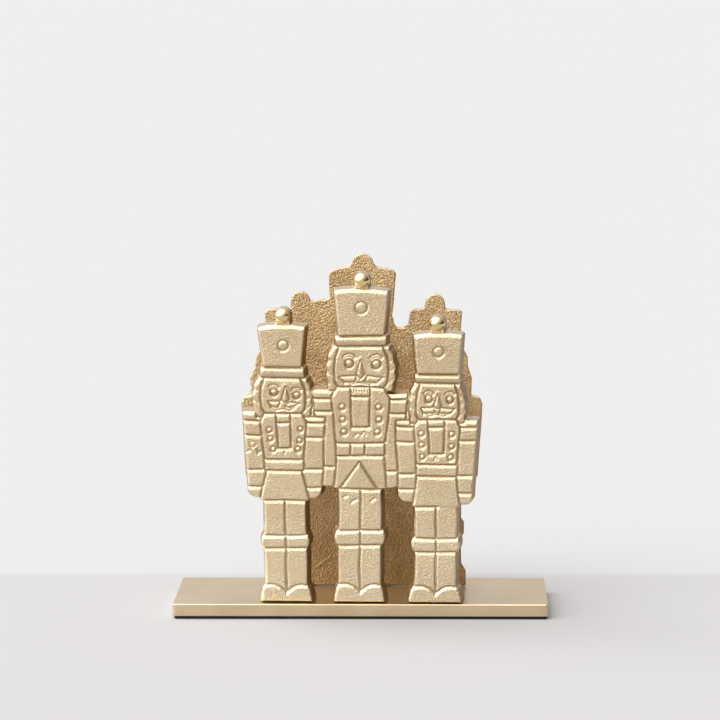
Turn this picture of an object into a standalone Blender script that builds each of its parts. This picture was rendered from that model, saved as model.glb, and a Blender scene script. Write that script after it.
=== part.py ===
# Napkin holder with toy soldiers: two cast plates stand on a flat base plate, each screwed up from
# below through three countersunk holes, and a felt sheet covers the screw heads.
# The part's own frame has the footprint's centre under the felt as origin, the front towards -Y.

import math

import bmesh
import bpy
from mathutils import Vector

MM = 0.001
FIT_GAP = 0.3  # clearance between pieces that touch, everything here in millimetres

# Base plate and felt
BASE_LENGTH = 200.0
BASE_THICKNESS = 6.6
BASE_CORNER = 1.6
BASE_EDGE = 0.7
FELT_THICKNESS = 1.2
FELT_INSET = 0.8

# The two cast plates and their places, from front to back
FRONT_MARGIN = 2.3  # from the base's front edge to the front plate's toes
FRONT_THICKNESS = 13.0
SLOT_WIDTH = 35.7  # clear room for napkins between the plates
REAR_THICKNESS = 14.0
REAR_MARGIN = 10.0  # from the rear plate's toes to the base's back edge
REAR_WEB = 8.5  # thickness of the rear plate between its soldiers
FRONT_TURN = -2.0  # degrees seen from above, as the hand-fitted plate stands
PATTERN_SCALE = 1.0  # enlarges the pattern of both plates alike
DRAFT = math.tan(math.radians(10.0))  # taper of the cast sides
EMBED = 1.0  # raised fields of the rear plate start this deep inside its web

# Screws: countersunk, with a hexagon socket
SCREW_RADIUS = 2.5
SCREW_HEAD_RADIUS = 4.6
SCREW_LENGTH = 15.0
SCREW_TIP = 0.6
HEAD_RIM = 0.3  # straight rim of the head above its cone
SOCKET_SIZE = 3.0  # across the flats
SOCKET_DEPTH = 1.6
HOLE_EXTRA_DEPTH = 1.5
SCREW_SIDES = 16
SEAT_SHARE = 0.42  # a screw stands this share of a plate's thickness from its inner face

# Pompom on each hat
POMPOM_RADIUS = 4.1
POMPOM_BOSS = 1.8  # the boss behind the ball is this much wider at the plate's inner face
POMPOM_SIDES = 20
ARC_STEPS = 5

# How far each raised field stays below the highest level of its plate
LEVELS = {
    "shoe": 0.0,
    "leg": 1.3,
    "knee": 0.4,
    "skirt": 0.9,
    "belt": 0.3,
    "buckle": 0.0,
    "torso": 0.7,
    "bib": 0.2,
    "hair": 1.8,
    "face": 0.9,
    "moustache": 0.1,
    "nose": 0.1,
    "band": 0.2,
    "crown": 0.6,
    "arm": 1.2,
    "cuff": 0.6,
}

# Heights from the base plate and half widths of each soldier. foot_x and head_x give the line that
# its middle follows from the ground to the hat.
SOLDIERS = {
    "left": {
        "foot_x": -38.8, "head_x": -40.6, "pompom_x": -40.2,
        "shoe_top": 9.9, "knee_low": 29.6, "knee_top": 36.3, "hem": 55.2, "belt_low": 71.2,
        "belt_top": 77.1, "chest": 97.3, "chin": 101.9, "band_low": 120.7, "band_top": 126.5,
        "crown": 148.2, "pompom": 153.3, "bib_low": 83.4,
        "shoe": 14.0, "leg": 11.4, "knee": 12.9, "skirt": 13.3, "waist": 9.2, "belt": 10.5,
        "ribs": 10.3, "chest_half": 12.6, "neck": 10.0, "bib": 4.1, "face": 11.8, "hair": 16.6,
        "band": 11.8, "crown_low": 10.5, "crown_half": 12.7,
    },
    "centre": {
        "foot_x": 0.0, "head_x": 1.3, "pompom_x": 1.5,
        "shoe_top": 10.4, "knee_low": 31.4, "knee_top": 39.2, "hem": 61.5, "belt_low": 79.5,
        "belt_top": 86.2, "chest": 110.7, "chin": 116.1, "band_low": 137.7, "band_top": 143.4,
        "crown": 167.4, "pompom": 172.2, "bib_low": 94.5,
        "shoe": 13.7, "leg": 11.5, "knee": 13.7, "skirt": 14.0, "waist": 12.6, "belt": 12.9,
        "ribs": 13.2, "chest_half": 15.7, "neck": 12.3, "bib": 5.0, "face": 14.4, "hair": 19.4,
        "band": 13.8, "crown_low": 12.4, "crown_half": 14.4,
    },
    "right": {
        "foot_x": 40.2, "head_x": 41.7, "pompom_x": 41.4,
        "shoe_top": 9.5, "knee_low": 28.0, "knee_top": 35.2, "hem": 52.1, "belt_low": 68.5,
        "belt_top": 74.8, "chest": 95.3, "chin": 99.0, "band_low": 118.1, "band_top": 123.0,
        "crown": 144.2, "pompom": 149.6, "bib_low": 80.8,
        "shoe": 14.1, "leg": 11.2, "knee": 13.3, "skirt": 12.6, "waist": 10.6, "belt": 11.0,
        "ribs": 10.8, "chest_half": 12.1, "neck": 9.8, "bib": 3.9, "face": 11.5, "hair": 15.8,
        "band": 12.2, "crown_low": 11.2, "crown_half": 13.0,
    },
}

# Arms, each from its inner to its outer edge at the shoulder and at the hand
ARMS = {
    "left_outer": {"shoulder": (-51.6, -62.0), "hand": (-51.0, -58.7), "top": 102.5,
                   "epaulette": 97.7, "cuff_top": 71.5, "cuff_low": 62.6, "bottom": 56.5},
    "left_inner": {"shoulder": (-27.5, -17.9), "hand": (-28.9, -19.9), "top": 99.9,
                   "epaulette": 96.3, "cuff_top": 71.5, "cuff_low": 61.6, "bottom": 56.3},
    "centre_left": {"shoulder": (-14.2, -24.6), "hand": (-13.3, -20.8), "top": 114.4,
                    "epaulette": 110.1, "cuff_top": 73.8, "cuff_low": 67.5, "bottom": 62.6},
    "centre_right": {"shoulder": (16.0, 26.0), "hand": (14.2, 21.2), "top": 112.1,
                     "epaulette": 108.8, "cuff_top": 71.0, "cuff_low": 66.0, "bottom": 61.9},
    "right_inner": {"shoulder": (28.8, 19.4), "hand": (29.1, 20.8), "top": 98.2,
                    "epaulette": 94.1, "cuff_top": 69.3, "cuff_low": 61.2, "bottom": 54.6},
    "right_outer": {"shoulder": (52.4, 63.0), "hand": (52.2, 60.0), "top": 98.2,
                    "epaulette": 93.8, "cuff_top": 68.3, "cuff_low": 59.4, "bottom": 53.6},
}

# The rear plate's soldiers are taller and stand inside its closed outline
REAR_TALLER = 1.03
REAR_FIGURES = {
    "left": {"foot_x": -39.0, "head_x": -37.2, "pompom_x": -33.1, "pompom": 151.9, "crown": 144.8,
             "wider": 0.95},
    "centre": {"foot_x": 0.3, "head_x": 0.8, "pompom_x": 0.6, "pompom": 170.5, "wider": 1.1},
    "right": {"foot_x": 39.6, "head_x": 40.2, "pompom_x": 39.9, "pompom": 150.2, "wider": 0.92},
}

METALS = {
    "base_gold": ((0.60, 0.49, 0.34), 0.38),
    "cast_gold": ((0.62, 0.48, 0.29), 0.42),
    "screw_steel": ((0.56, 0.56, 0.55), 0.35),
}
FELT_BLACK = (0.012, 0.011, 0.010)

BASE_DEPTH = FRONT_MARGIN + FRONT_THICKNESS + SLOT_WIDTH + REAR_THICKNESS + REAR_MARGIN
BASE_TOP = FELT_THICKNESS + FIT_GAP + BASE_THICKNESS
PLATE_FOOT = BASE_TOP + FIT_GAP
FRONT_BACK_Y = -BASE_DEPTH / 2 + FRONT_MARGIN + FRONT_THICKNESS
REAR_INNER_Y = FRONT_BACK_Y + SLOT_WIDTH


def clear_scene():
    for thing in list(bpy.data.objects):
        bpy.data.objects.remove(thing)


def make_material(name, colour, roughness, metallic):
    material = bpy.data.materials.new(name)
    material.use_nodes = True
    shader = material.node_tree.nodes["Principled BSDF"]
    shader.inputs["Base Color"].default_value = (*colour, 1.0)
    shader.inputs["Roughness"].default_value = roughness
    shader.inputs["Metallic"].default_value = metallic
    material.diffuse_color = (*colour, 1.0)
    return material


def add_object(name, bm, material, parent=None, location=(0.0, 0.0, 0.0)):
    """Turns a bmesh in millimetres into a named object in metres, with round shapes shaded smooth."""
    bmesh.ops.recalc_face_normals(bm, faces=bm.faces)
    bmesh.ops.scale(bm, vec=(MM, MM, MM), verts=bm.verts)
    mesh = bpy.data.meshes.new(name)
    bm.to_mesh(mesh)
    bm.free()
    mesh.materials.append(material)
    mesh.shade_smooth()
    mesh.set_sharp_from_angle(angle=math.radians(32))
    thing = bpy.data.objects.new(name, mesh)
    thing.location = Vector(location) * MM
    thing.parent = parent
    bpy.context.collection.objects.link(thing)
    return thing


def add_place(name, location, turn=0.0):
    """An empty that carries one plate with its screws and screw holes."""
    place = bpy.data.objects.new(name, None)
    place.location = Vector(location) * MM
    place.rotation_euler.z = math.radians(turn)
    bpy.context.collection.objects.link(place)
    return place


def combine(thing, other, operation):
    """Boolean with a helper that is left out of the finished object."""
    other.hide_render = True
    other.display_type = "WIRE"
    modifier = thing.modifiers.new(other.name, "BOOLEAN")
    modifier.operation = operation
    modifier.solver = "EXACT"
    modifier.object = other
    return modifier


def arc(centre_x, centre_z, radius, start, end, steps=ARC_STEPS):
    """Points of an arc in the plate's plane, with its angles in degrees from +X towards +Z."""
    points = []
    for step in range(steps + 1):
        angle = math.radians(start + (end - start) * step / steps)
        points.append((centre_x + radius * math.cos(angle), centre_z + radius * math.sin(angle)))
    return points


def offset(outline, distance):
    """The outline moved outwards, never below the ground line that the plate stands on."""
    points = [Vector(point) for point in outline]
    moved = []
    for index, point in enumerate(points):
        incoming = (point - points[index - 1]).normalized()
        outgoing = (points[(index + 1) % len(points)] - point).normalized()
        normal = Vector((incoming.y, -incoming.x))
        middle = (normal + Vector((outgoing.y, -outgoing.x))).normalized()
        corner = point + middle * distance / max(middle.dot(normal), 0.5)
        moved.append((corner.x, max(corner.y, 0.0)))
    return moved


def anticlockwise(outline):
    area = 0.0
    for index, (x, z) in enumerate(outline):
        before_x, before_z = outline[index - 1]
        area += before_x * z - x * before_z
    return list(outline) if area > 0 else list(reversed(outline))


def add_field(bm, outline, low, high, spread, facing):
    """A drafted slab of a plate: the outline at depth high, and at depth low wider by spread."""
    outline = anticlockwise(outline)
    ring = [bm.verts.new((x, facing * low, z)) for x, z in offset(outline, spread)]
    extruded = bmesh.ops.extrude_face_region(bm, geom=[bm.faces.new(ring)])["geom"]
    raised = {part for part in extruded if isinstance(part, bmesh.types.BMVert)}
    for vert, (x, z) in zip(ring, outline):
        above = next(edge.other_vert(vert) for edge in vert.link_edges if edge.other_vert(vert) in raised)
        above.co = (x, facing * high, z)


def rectangle(left, right, low, top):
    return [(left, low), (right, low), (right, top), (left, top)]


def mirrored(*right_side):
    """A symmetrical outline from the points of its right side, bottom to top."""
    return [*right_side, *[(-x, z) for x, z in reversed(right_side) if x > 0]]


def leg_fields(s):
    """Shoe, leg and knee band of the right leg; the left one is their mirror image."""
    outer, top = s["shoe"], s["shoe_top"]
    knee_mid = (s["knee_low"] + s["knee_top"]) / 2
    shoe = [(0.4, 0.0), (outer, 0.0), (outer - 0.2, 3.0), (outer - 2.2, top - 2.0), (outer * 0.6, top),
            (outer * 0.3, top), (1.5, top - 2.6), (0.4, top - 5.5)]
    knee = [(0.3, s["knee_low"]), (s["knee"] - 1.0, s["knee_low"]), (s["knee"], knee_mid),
            (s["knee"] - 1.0, s["knee_top"]), (0.3, s["knee_top"])]
    return [("shoe", shoe), ("leg", rectangle(0.3, s["leg"], top * 0.5, s["hem"] + 2.0)), ("knee", knee)]


def coat_fields(s):
    low, top = s["belt_low"], s["belt_top"]
    return [
        ("skirt", mirrored((s["skirt"], s["hem"]), (s["waist"], low))),
        ("belt", mirrored((s["belt"], low + 0.3), (s["belt"], top))),
        ("buckle", mirrored((s["belt"] * 0.3, low + 1.0), (s["belt"] * 0.3, top - 0.7))),
        ("torso", mirrored((s["ribs"], top + 0.4), (s["chest_half"], s["chest"]), (s["neck"], s["chin"]))),
        ("bib", mirrored((s["bib"], s["bib_low"]), (s["bib"], s["chin"]))),
    ]


def head_fields(s):
    """Hair, face and hat. Heights on the head are shares of it, from the chin to the hat band."""
    chin, face, hair = s["chin"], s["face"], s["hair"]
    head = s["band_low"] - chin
    locks = [(s["neck"] * 0.8, chin - 1.0), (hair * 0.86, chin + 0.4), (hair, chin + head * 0.3),
             (hair * 0.9, chin + head * 0.5), (hair * 0.87, chin + head * 0.75),
             (s["band"] * 0.96, chin + head + 1.0)]
    cheeks = [(face * 0.75, chin + 0.3), (face, chin + head * 0.3), (face * 0.86, chin + head)]
    top = s["crown"]
    crown = [(s["crown_low"], s["band_top"] - 0.3), (s["crown_half"], top - 0.8), (0.0, top + 0.6)]
    return [
        ("hair", mirrored(*locks)),
        ("face", mirrored(*cheeks)),
        ("nose", mirrored((0.8, chin + head * 0.24), (2.0, chin + head * 0.3), (0.5, chin + head * 0.7))),
        ("band", mirrored((s["band"], s["band_low"] + 0.3), (s["band"], s["band_top"]))),
        ("crown", mirrored(*crown)),
    ]


def moustache_field(s):
    """The right half of the moustache."""
    lip, reach = s["chin"] + (s["band_low"] - s["chin"]) * 0.23, s["face"]
    return ("moustache", [(1.5, lip), (reach * 0.35, lip - 2.4), (reach * 0.9, lip + 0.4), (2.2, lip + 1.4)])


def soldier_fields(s):
    """The raised fields of one soldier as name and outline, about its own middle line."""
    halves = [*leg_fields(s), moustache_field(s)]
    fields = [(name, [(side * x, z) for x, z in outline]) for side in (-1, 1) for name, outline in halves]
    return [*fields, *coat_fields(s), *head_fields(s)]


def arm_fields(arm):
    """Sleeve, epaulette and cuff of one arm as name and outline."""
    (top_in, top_out), (low_in, low_out) = arm["shoulder"], arm["hand"]

    def edges(height):
        share = (height - arm["bottom"]) / (arm["top"] - arm["bottom"])
        return low_in + (top_in - low_in) * share, low_out + (top_out - low_out) * share

    def band(low, top):
        (a_in, a_out), (b_in, b_out) = edges(low), edges(top)
        return [(a_in, low), (a_out, low), (b_out, top), (b_in, top)]

    hand_in, hand_out = edges(arm["cuff_low"])
    rounding = (hand_out - hand_in) * 0.28
    sleeve = [(hand_in + rounding, arm["bottom"]), (hand_out - rounding, arm["bottom"]),
              (hand_out, arm["cuff_low"] - 1.0), (top_out, arm["top"] - 1.0), (top_in, arm["top"] - 1.0),
              (hand_in, arm["cuff_low"] - 1.0)]
    return [
        ("arm", sleeve),
        ("cuff", band(arm["epaulette"] + 0.4, arm["top"])),
        ("cuff", band(arm["cuff_low"] + 0.4, arm["cuff_top"])),
    ]


def middle_x(s, height):
    return s["foot_x"] + (s["head_x"] - s["foot_x"]) * height / s["band_top"]


def add_soldiers(bm, soldiers, thickness, low, taller, facing):
    """All raised fields of one plate's soldiers, from depth low outwards."""
    fields = []
    for s in soldiers:
        for name, outline in soldier_fields(s):
            fields.append((name, [(middle_x(s, z) + x * s["wider"], z) for x, z in outline]))
    for arm in ARMS.values():
        fields.extend(arm_fields(arm))
    for name, outline in fields:
        height = thickness - LEVELS[name]
        placed = [(x * PATTERN_SCALE, z * taller * PATTERN_SCALE) for x, z in outline]
        add_field(bm, placed, low, height, (height - low) * DRAFT, facing)


def turned(bm, profile, centre, axis, sides):
    """Spins a profile of (radius, distance along the axis) points whose two ends lie on the axis."""
    before = set(bm.verts)
    middle, outwards, onwards = Vector(centre), Vector((1.0, 0.0, 0.0)), Vector(axis)
    verts = [bm.verts.new(middle + outwards * radius + onwards * along) for radius, along in profile]
    line = verts + [bm.edges.new(pair) for pair in zip(verts, verts[1:])]
    bmesh.ops.spin(bm, geom=line, cent=centre, axis=axis, angle=math.tau, steps=sides, use_merge=True)
    made = [vert for vert in bm.verts if vert not in before]
    bmesh.ops.remove_doubles(bm, verts=made, dist=0.001)


def pompom_profile(thickness):
    """Ball with a wider, tapered boss behind it, from near the inner face to the ball's front."""
    back = 0.1
    ball = arc(0.0, thickness - POMPOM_RADIUS, POMPOM_RADIUS, 0, 90)
    return [(0.0, back), (POMPOM_RADIUS + POMPOM_BOSS, back), *ball[:-1], (0.0, thickness)]


def add_pompoms(name, soldiers, thickness, taller, material, place, facing):
    bm = bmesh.new()
    for s in soldiers:
        centre = (s["pompom_x"] * PATTERN_SCALE, 0.0, s["pompom"] * taller * PATTERN_SCALE)
        turned(bm, pompom_profile(thickness), centre, (0.0, facing, 0.0), POMPOM_SIDES)
    return add_object(name, bm, material, place)


def screw_profile(radius, head_radius, length, head_cap):
    """Countersunk shape from its flat head, at 0, up to its tip: the head ends in a cone at 45 degrees."""
    cone_end = head_cap + head_radius - radius
    return [(0.0, 0.0), (head_radius, 0.0), (head_radius, head_cap), (radius, cone_end),
            (radius, length - SCREW_TIP), (radius - SCREW_TIP, length), (0.0, length)]


def add_screw(name, centre, material, place):
    """One screw with its head flush in the base's underside, and a hexagon socket."""
    bm = bmesh.new()
    profile = screw_profile(SCREW_RADIUS, SCREW_HEAD_RADIUS, SCREW_LENGTH, HEAD_RIM)
    turned(bm, profile, (0.0, 0.0, 0.0), (0.0, 0.0, 1.0), SCREW_SIDES)
    screw = add_object(name, bm, material, place, centre)
    socket = bmesh.new()
    corner = SOCKET_SIZE / math.sqrt(3)
    bmesh.ops.create_cone(socket, cap_ends=True, segments=6, radius1=corner, radius2=corner,
                          depth=2 * SOCKET_DEPTH)
    cutter = add_object(name + "_socket_cutter", socket, material, place, centre)
    combine(screw, cutter, "DIFFERENCE")


def add_hole_cutter(name, centre, material, place):
    """The screw's clearance hole through the base and up into the plate's foot."""
    bm = bmesh.new()
    wide = SCREW_HEAD_RADIUS + FIT_GAP
    profile = screw_profile(SCREW_RADIUS + FIT_GAP, wide, SCREW_LENGTH + HOLE_EXTRA_DEPTH, HEAD_RIM + FIT_GAP)
    below = -HEAD_RIM
    turned(bm, [(0.0, below), (wide, below), *profile[2:]], (0.0, 0.0, 0.0), (0.0, 0.0, 1.0), SCREW_SIDES)
    return add_object(name, bm, material, place, centre)


def rounded_slab(length, depth, low, top, corner, edge):
    """A flat plate with rounded corners, and rounded top and bottom edges where edge isn't 0."""
    bm = bmesh.new()
    bmesh.ops.create_cube(bm, size=1.0)
    bmesh.ops.scale(bm, vec=(length, depth, top - low), verts=bm.verts)
    bmesh.ops.translate(bm, vec=(0.0, 0.0, (top + low) / 2), verts=bm.verts)
    upright = [e for e in bm.edges if abs(e.verts[0].co.z - e.verts[1].co.z) > 0.5 * (top - low)]
    bmesh.ops.bevel(bm, geom=upright, offset=corner, segments=4, profile=0.5, affect="EDGES", material=-1)
    if edge:
        rims = [e for e in bm.edges if abs(e.verts[0].co.z - e.verts[1].co.z) < 0.01]
        bmesh.ops.bevel(bm, geom=rims, offset=edge, segments=2, profile=0.5, affect="EDGES", material=-1)
    return bm


def rear_outline():
    """The rear plate's outline at its inner face: the soldiers' shadow with the gaps between filled."""
    right = [(56.6, 0.0), (56.6, 8.7), (54.1, 12.6), (54.1, 26.5), (55.9, 28.5), (55.9, 34.9), (54.1, 37.3),
             (54.1, 54.1), (59.5, 56.1), (63.3, 61.0), (65.6, 100.2), (64.2, 103.8), (59.7, 104.7),
             (60.3, 114.4), (57.9, 120.7), (57.3, 126.5), (54.4, 131.4)]
    right_hat = [(53.6, 134.3), (54.6, 150.1), (53.6, 151.0), (45.7, 152.2), *arc(39.9, 154.7, 5.6, 0, 180),
                 (34.0, 152.2), (27.4, 151.7), (26.1, 150.3), (25.4, 144.2), (23.1, 141.9), (19.4, 141.9),
                 (17.7, 144.4), (17.6, 146.4), (16.6, 148.2)]
    centre_hat = [(19.1, 171.2), (17.5, 173.4), (8.6, 175.1), *arc(0.6, 175.6, 6.4, 10, 170), (-7.4, 175.0),
                  (-15.9, 173.2), (-17.5, 170.9), (-17.4, 159.0), (-18.9, 157.4)]
    left_hat = [(-27.4, 156.1), *arc(-33.1, 156.5, 5.3, 15, 180), (-38.6, 152.4), (-50.9, 151.9),
                (-52.5, 150.1), (-51.6, 134.3)]
    left = [(-x, z) for x, z in reversed(right)]
    outline = right + right_hat + centre_hat + left_hat + left
    return [(x * PATTERN_SCALE, z * PATTERN_SCALE) for x, z in outline]


def front_soldiers():
    return [dict(s, wider=1.0) for s in SOLDIERS.values()]


def rear_soldiers():
    return [dict(SOLDIERS[name], **changes) for name, changes in REAR_FIGURES.items()]


def build():
    clear_scene()
    metals = {name: make_material(name, colour, rough, 1.0) for name, (colour, rough) in METALS.items()}
    felt = make_material("felt_black", FELT_BLACK, 0.95, 0.0)
    gold = metals["cast_gold"]

    pad_length, pad_depth = BASE_LENGTH - 2 * FELT_INSET, BASE_DEPTH - 2 * FELT_INSET
    pad = rounded_slab(pad_length, pad_depth, 0.0, FELT_THICKNESS, BASE_CORNER, 0.0)
    add_object("felt_pad", pad, felt)
    slab = rounded_slab(BASE_LENGTH, BASE_DEPTH, BASE_TOP - BASE_THICKNESS, BASE_TOP, BASE_CORNER, BASE_EDGE)
    base = add_object("base_plate", slab, metals["base_gold"])

    plates = (
        ("front", front_soldiers(), FRONT_BACK_Y, FRONT_TURN, FRONT_THICKNESS, 1.0, -1),
        ("rear", rear_soldiers(), REAR_INNER_Y, 0.0, REAR_THICKNESS, REAR_TALLER, 1),
    )
    for side, soldiers, plate_y, turn, thickness, taller, facing in plates:
        place = add_place(side + "_place", (0.0, plate_y, PLATE_FOOT), turn)
        bm = bmesh.new()
        low = 0.0
        if side == "rear":
            low = EMBED
            add_field(bm, rear_outline(), REAR_WEB, 0.0, -REAR_WEB * DRAFT, facing)
        add_soldiers(bm, soldiers, thickness, low, taller, facing)
        plate = add_object(side + "_casting", bm, gold, place)
        pompoms = add_pompoms(side + "_pompom_shapes", soldiers, thickness, taller, gold, place, facing)
        union = combine(plate, pompoms, "UNION")
        union.use_self = True
        for s, which in zip(soldiers, SOLDIERS):
            seat = (s["foot_x"] * PATTERN_SCALE, facing * thickness * SEAT_SHARE, -FIT_GAP - BASE_THICKNESS)
            hole = add_hole_cutter(f"{side}_{which}_hole_cutter", seat, gold, place)
            combine(plate, hole, "DIFFERENCE")
            combine(base, hole, "DIFFERENCE")
            add_screw(f"{side}_{which}_screw", seat, metals["screw_steel"], place)


build()
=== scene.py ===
import math

import bmesh
import bpy
import numpy as np
from mathutils import Matrix, Vector


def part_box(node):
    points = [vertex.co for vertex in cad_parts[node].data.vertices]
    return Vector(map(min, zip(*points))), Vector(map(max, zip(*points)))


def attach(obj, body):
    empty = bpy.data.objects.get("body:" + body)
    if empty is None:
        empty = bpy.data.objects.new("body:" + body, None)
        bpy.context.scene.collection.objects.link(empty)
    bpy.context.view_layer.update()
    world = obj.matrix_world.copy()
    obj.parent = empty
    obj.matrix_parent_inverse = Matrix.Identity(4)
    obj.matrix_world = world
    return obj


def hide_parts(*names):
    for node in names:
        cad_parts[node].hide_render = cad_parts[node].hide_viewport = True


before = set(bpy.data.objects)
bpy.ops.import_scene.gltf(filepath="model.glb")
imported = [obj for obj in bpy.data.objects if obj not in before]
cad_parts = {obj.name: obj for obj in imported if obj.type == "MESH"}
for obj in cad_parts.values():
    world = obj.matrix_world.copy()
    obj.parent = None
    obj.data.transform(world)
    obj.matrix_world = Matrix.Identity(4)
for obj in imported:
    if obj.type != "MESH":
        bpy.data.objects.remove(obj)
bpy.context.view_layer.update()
mm = 0.001
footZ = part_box("front_casting")[0].z
print("frame loaded:", ", ".join(sorted(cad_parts)))

# One dictionary for each soldier, in millimetres: heights above the plate's foot, half widths and
# places across from the soldier's own middle line. The middle line runs from footX up to headX.
leftSoldier = {
    "footX": -38.8, "headX": -40.6, "pompomX": -40.2,
    "shoeTop": 9.9, "kneeLow": 29.6, "kneeTop": 36.3, "hem": 55.2, "beltLow": 71.2, "beltTop": 77.1,
    "chest": 97.3, "chin": 101.9, "bandLow": 120.7, "bandTop": 126.5, "crown": 148.2, "pompom": 153.3,
    "shoe": 14.0, "leg": 11.4, "knee": 12.9, "skirt": 13.3, "waist": 9.2, "belt": 10.5, "ribs": 10.3,
    "chestHalf": 12.6, "neck": 10.0, "face": 11.8, "hair": 15.6, "band": 11.8, "crownLow": 10.5,
    "crownHalf": 12.7,
    "bib": (-3.3, 3.8, 83.2), "bibTop": 96.8, "bow": ((0.2, 82.8), (0.4, 80.6)),
    "buttons": ((-7.4, 93.2), (-6.9, 88.6), (-5.6, 82.8), (9.4, 93.3), (8.6, 87.2), (7.6, 82.6)),
    "buttonRadius": 1.45,
    "eyes": ((-4.6, 113.0), (7.1, 111.8)), "eyeRadius": 1.85,
    "nose": ((1.3, 116.4), (-1.0, 109.3), (1.1, 107.3), (3.2, 109.4)),
    "moustache": ((-7.9, 108.0), (-1.4, 108.4), (-2.6, 104.9), (-6.0, 105.3)),
    "otherMoustache": ((1.4, 105.9), (3.4, 108.3), (8.6, 107.3), (4.4, 105.0)),
    "emblem": (0.7, 138.1), "emblemRadius": 2.8, "hemEnd": 11.4,
}
centreSoldier = {
    "footX": 0.0, "headX": 1.3, "pompomX": 1.5,
    "shoeTop": 10.4, "kneeLow": 31.4, "kneeTop": 39.2, "hem": 61.5, "beltLow": 79.5, "beltTop": 86.2,
    "chest": 110.7, "chin": 116.1, "bandLow": 137.7, "bandTop": 143.4, "crown": 167.4, "pompom": 172.2,
    "shoe": 13.7, "leg": 11.5, "knee": 13.7, "skirt": 14.0, "waist": 12.6, "belt": 12.9, "ribs": 13.2,
    "chestHalf": 15.7, "neck": 12.3, "face": 14.4, "hair": 18.4, "band": 13.8, "crownLow": 12.4,
    "crownHalf": 14.4,
    "bib": (-5.0, 4.7, 94.9), "bibTop": 110.9,
    "bow": ((-3.3, 90.3), (-1.6, 91.6), (0.2, 90.6), (1.9, 92.9), (2.6, 90.8)),
    "buttons": ((-9.7, 105.5), (-9.5, 98.7), (-8.8, 92.2), (9.7, 105.5), (9.7, 98.6), (8.9, 92.0)),
    "buttonRadius": 1.65,
    "eyes": ((-6.2, 128.6), (8.1, 128.3)), "eyeRadius": 2.3,
    "nose": ((-0.2, 131.0), (-2.5, 122.7), (-0.2, 120.2), (2.2, 122.7)),
    "moustache": ((-11.6, 121.4), (-2.0, 122.2), (-3.0, 118.6), (-8.6, 118.3)),
    "otherMoustache": ((2.0, 118.9), (3.6, 122.3), (11.6, 121.4), (8.4, 118.3)),
    "emblem": (0.2, 158.3), "emblemRadius": 3.2, "hemEnd": 11.5,
    "apron": ((-10.6, 61.9), (-0.3, 76.0), (8.9, 61.9)), "buckle": (-5.5, 2.0),
}
rightSoldier = {
    "footX": 40.2, "headX": 41.7, "pompomX": 41.4,
    "shoeTop": 9.5, "kneeLow": 28.0, "kneeTop": 35.2, "hem": 52.1, "beltLow": 68.5, "beltTop": 74.8,
    "chest": 95.3, "chin": 99.0, "bandLow": 118.1, "bandTop": 123.0, "crown": 144.2, "pompom": 149.6,
    "shoe": 14.1, "leg": 11.2, "knee": 13.3, "skirt": 12.6, "waist": 10.6, "belt": 11.0, "ribs": 10.8,
    "chestHalf": 12.1, "neck": 9.8, "face": 11.5, "hair": 15.2, "band": 12.2, "crownLow": 11.2,
    "crownHalf": 13.0,
    "bib": (-4.3, 3.7, 80.8), "bibTop": 94.9, "bow": ((-1.0, 80.4), (-1.0, 77.8), (0.4, 80.4), (0.4, 77.8)),
    "buttons": ((-8.1, 91.7), (-8.0, 85.5), (-7.6, 79.0), (7.8, 91.0), (7.9, 84.6), (7.4, 78.7)),
    "buttonRadius": 1.5,
    "eyes": ((-4.9, 109.8), (6.7, 109.7)), "eyeRadius": 1.9,
    "nose": ((0.0, 112.6), (-2.2, 106.1), (0.0, 104.6), (2.3, 106.1)),
    "moustache": ((-8.6, 105.0), (-1.6, 105.3), (-1.2, 102.4), (-7.2, 102.2)),
    "otherMoustache": ((1.2, 102.4), (1.8, 105.3), (9.2, 104.6), (6.4, 101.9)),
    "emblem": (0.3, 134.9), "emblemRadius": 2.8, "hemEnd": 1.7,
}
# Each arm in plate millimetres: inner and outer edge at the shoulder and at the hand, and the cut lines.
arms = {
    "leftOuter": {"shoulder": (-51.6, -62.0), "hand": (-51.0, -58.7), "top": 102.5, "bottom": 56.5,
                  "lines": (98.0, 90.3, 71.7, 62.6)},
    "leftInner": {"shoulder": (-27.5, -17.9), "hand": (-28.9, -19.9), "top": 99.9, "bottom": 56.3,
                  "lines": (96.8, 89.1, 72.0, 62.3)},
    "centreLeft": {"shoulder": (-14.2, -24.6), "hand": (-13.3, -20.8), "top": 114.4, "bottom": 62.6,
                   "lines": (109.8, 103.1, 73.6)},
    "centreRight": {"shoulder": (16.0, 26.0), "hand": (14.2, 21.2), "top": 112.4, "bottom": 61.9,
                    "lines": (109.6, 102.0, 71.4)},
    "rightInner": {"shoulder": (28.8, 19.4), "hand": (29.1, 20.8), "top": 98.4, "bottom": 54.6,
                   "lines": (95.0, 86.9, 69.8, 61.7)},
    "rightOuter": {"shoulder": (52.4, 63.0), "hand": (52.2, 60.0), "top": 98.4, "bottom": 53.6,
                   "lines": (94.8, 87.7, 69.0, 59.8)},
}
armOrder = ("centreLeft", "centreRight", "leftInner", "rightInner", "leftOuter", "rightOuter")
# A cut line of the relief: the flanks below and right of it are wide, those above and left of it steep.
cutLine = {"depth": 1.2, "below": 1.85, "above": 0.5, "left": 0.5, "right": 1.25, "curve": 1.15}
# The relief is worked out on a grid over this part of a plate, from its low left to its top right corner.
reliefGrid = {"low": (-75.0, -3.0), "high": (75.0, 190.0), "step": 0.2}
# How far each panel lies under the highest level of the face.
levels = {"leg": 0.35, "knee": 0.0, "shoe": 0.1, "skirt": 0.2, "torso": 0.1, "belt": 0.0, "hair": 0.7,
          "face": 0.3, "band": 0.0, "crown": 0.15, "arm": 0.3}
# How much a plate widens from its face to its back, sideways and upwards.
draftSide = math.tan(math.radians(5.5))
draftUp = math.tan(math.radians(3.5))
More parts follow.
